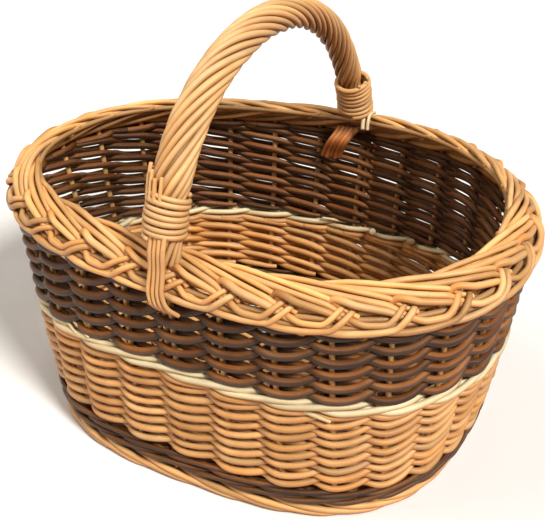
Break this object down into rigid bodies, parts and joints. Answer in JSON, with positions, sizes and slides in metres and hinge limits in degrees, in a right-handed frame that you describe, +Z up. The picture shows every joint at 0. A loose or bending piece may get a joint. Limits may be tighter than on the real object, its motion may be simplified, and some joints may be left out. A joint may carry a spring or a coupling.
{
  "type": "woven market basket",
  "caption": "Oval woven willow market basket with a fixed roped arch handle, plaited border and banded light, white and dark sides.",
  "frame": {"origin": "on the table under the middle of the whole basket", "axes": "+Z up, +X along the length of the oval, +Y across it; the handle arches over the width, along Y"},
  "size_m": [0.4698, 0.3556, 0.3727],
  "materials": {
    "buff_willow": "satin peeled and boiled willow",
    "border_willow": "satin peeled and boiled willow",
    "handle_willow": "satin peeled willow",
    "brown_willow": "satin willow with its bark on",
    "white_willow": "satin white willow",
    "base_willow": "satin peeled willow"
  },
  "bodies": {
    "root": {"base_long_sticks": "base_willow", "base_cross_sticks": "base_willow", "base_weave": "base_willow", "foot_border": "border_willow", "upsett_wale": "brown_willow", "buff_siding": "buff_willow", "white_wale": "white_willow", "dark_siding": "brown_willow", "side_stakes": "buff_willow", "near_handle_liner": "buff_willow", "far_handle_liner": "buff_willow", "inner_border_plait": "border_willow", "outer_border_plait": "border_willow", "border_crossing_rods": "border_willow", "handle_bow": "handle_willow", "handle_wrap_rod_01": "handle_willow", "handle_wrap_rod_02": "handle_willow", "handle_wrap_rod_03": "handle_willow", "handle_wrap_rod_04": "handle_willow", "handle_wrap_rod_05": "handle_willow", "handle_wrap_rod_06": "handle_willow", "handle_wrap_rod_07": "handle_willow", "handle_wrap_rod_08": "handle_willow", "handle_wrap_rod_09": "handle_willow", "handle_wrap_rod_10": "handle_willow", "handle_wrap_rod_11": "handle_willow", "handle_wrap_rod_12": "handle_willow", "near_binding": "handle_willow", "far_binding": "handle_willow", "near_tie_strands": "handle_willow", "far_tie_strands": "handle_willow", "far_inside_tails": "handle_willow", "near_wrap_tips": "handle_willow", "far_wrap_tips": "handle_willow", "white_wale_butts": "white_willow"}
  },
  "joints": []
}
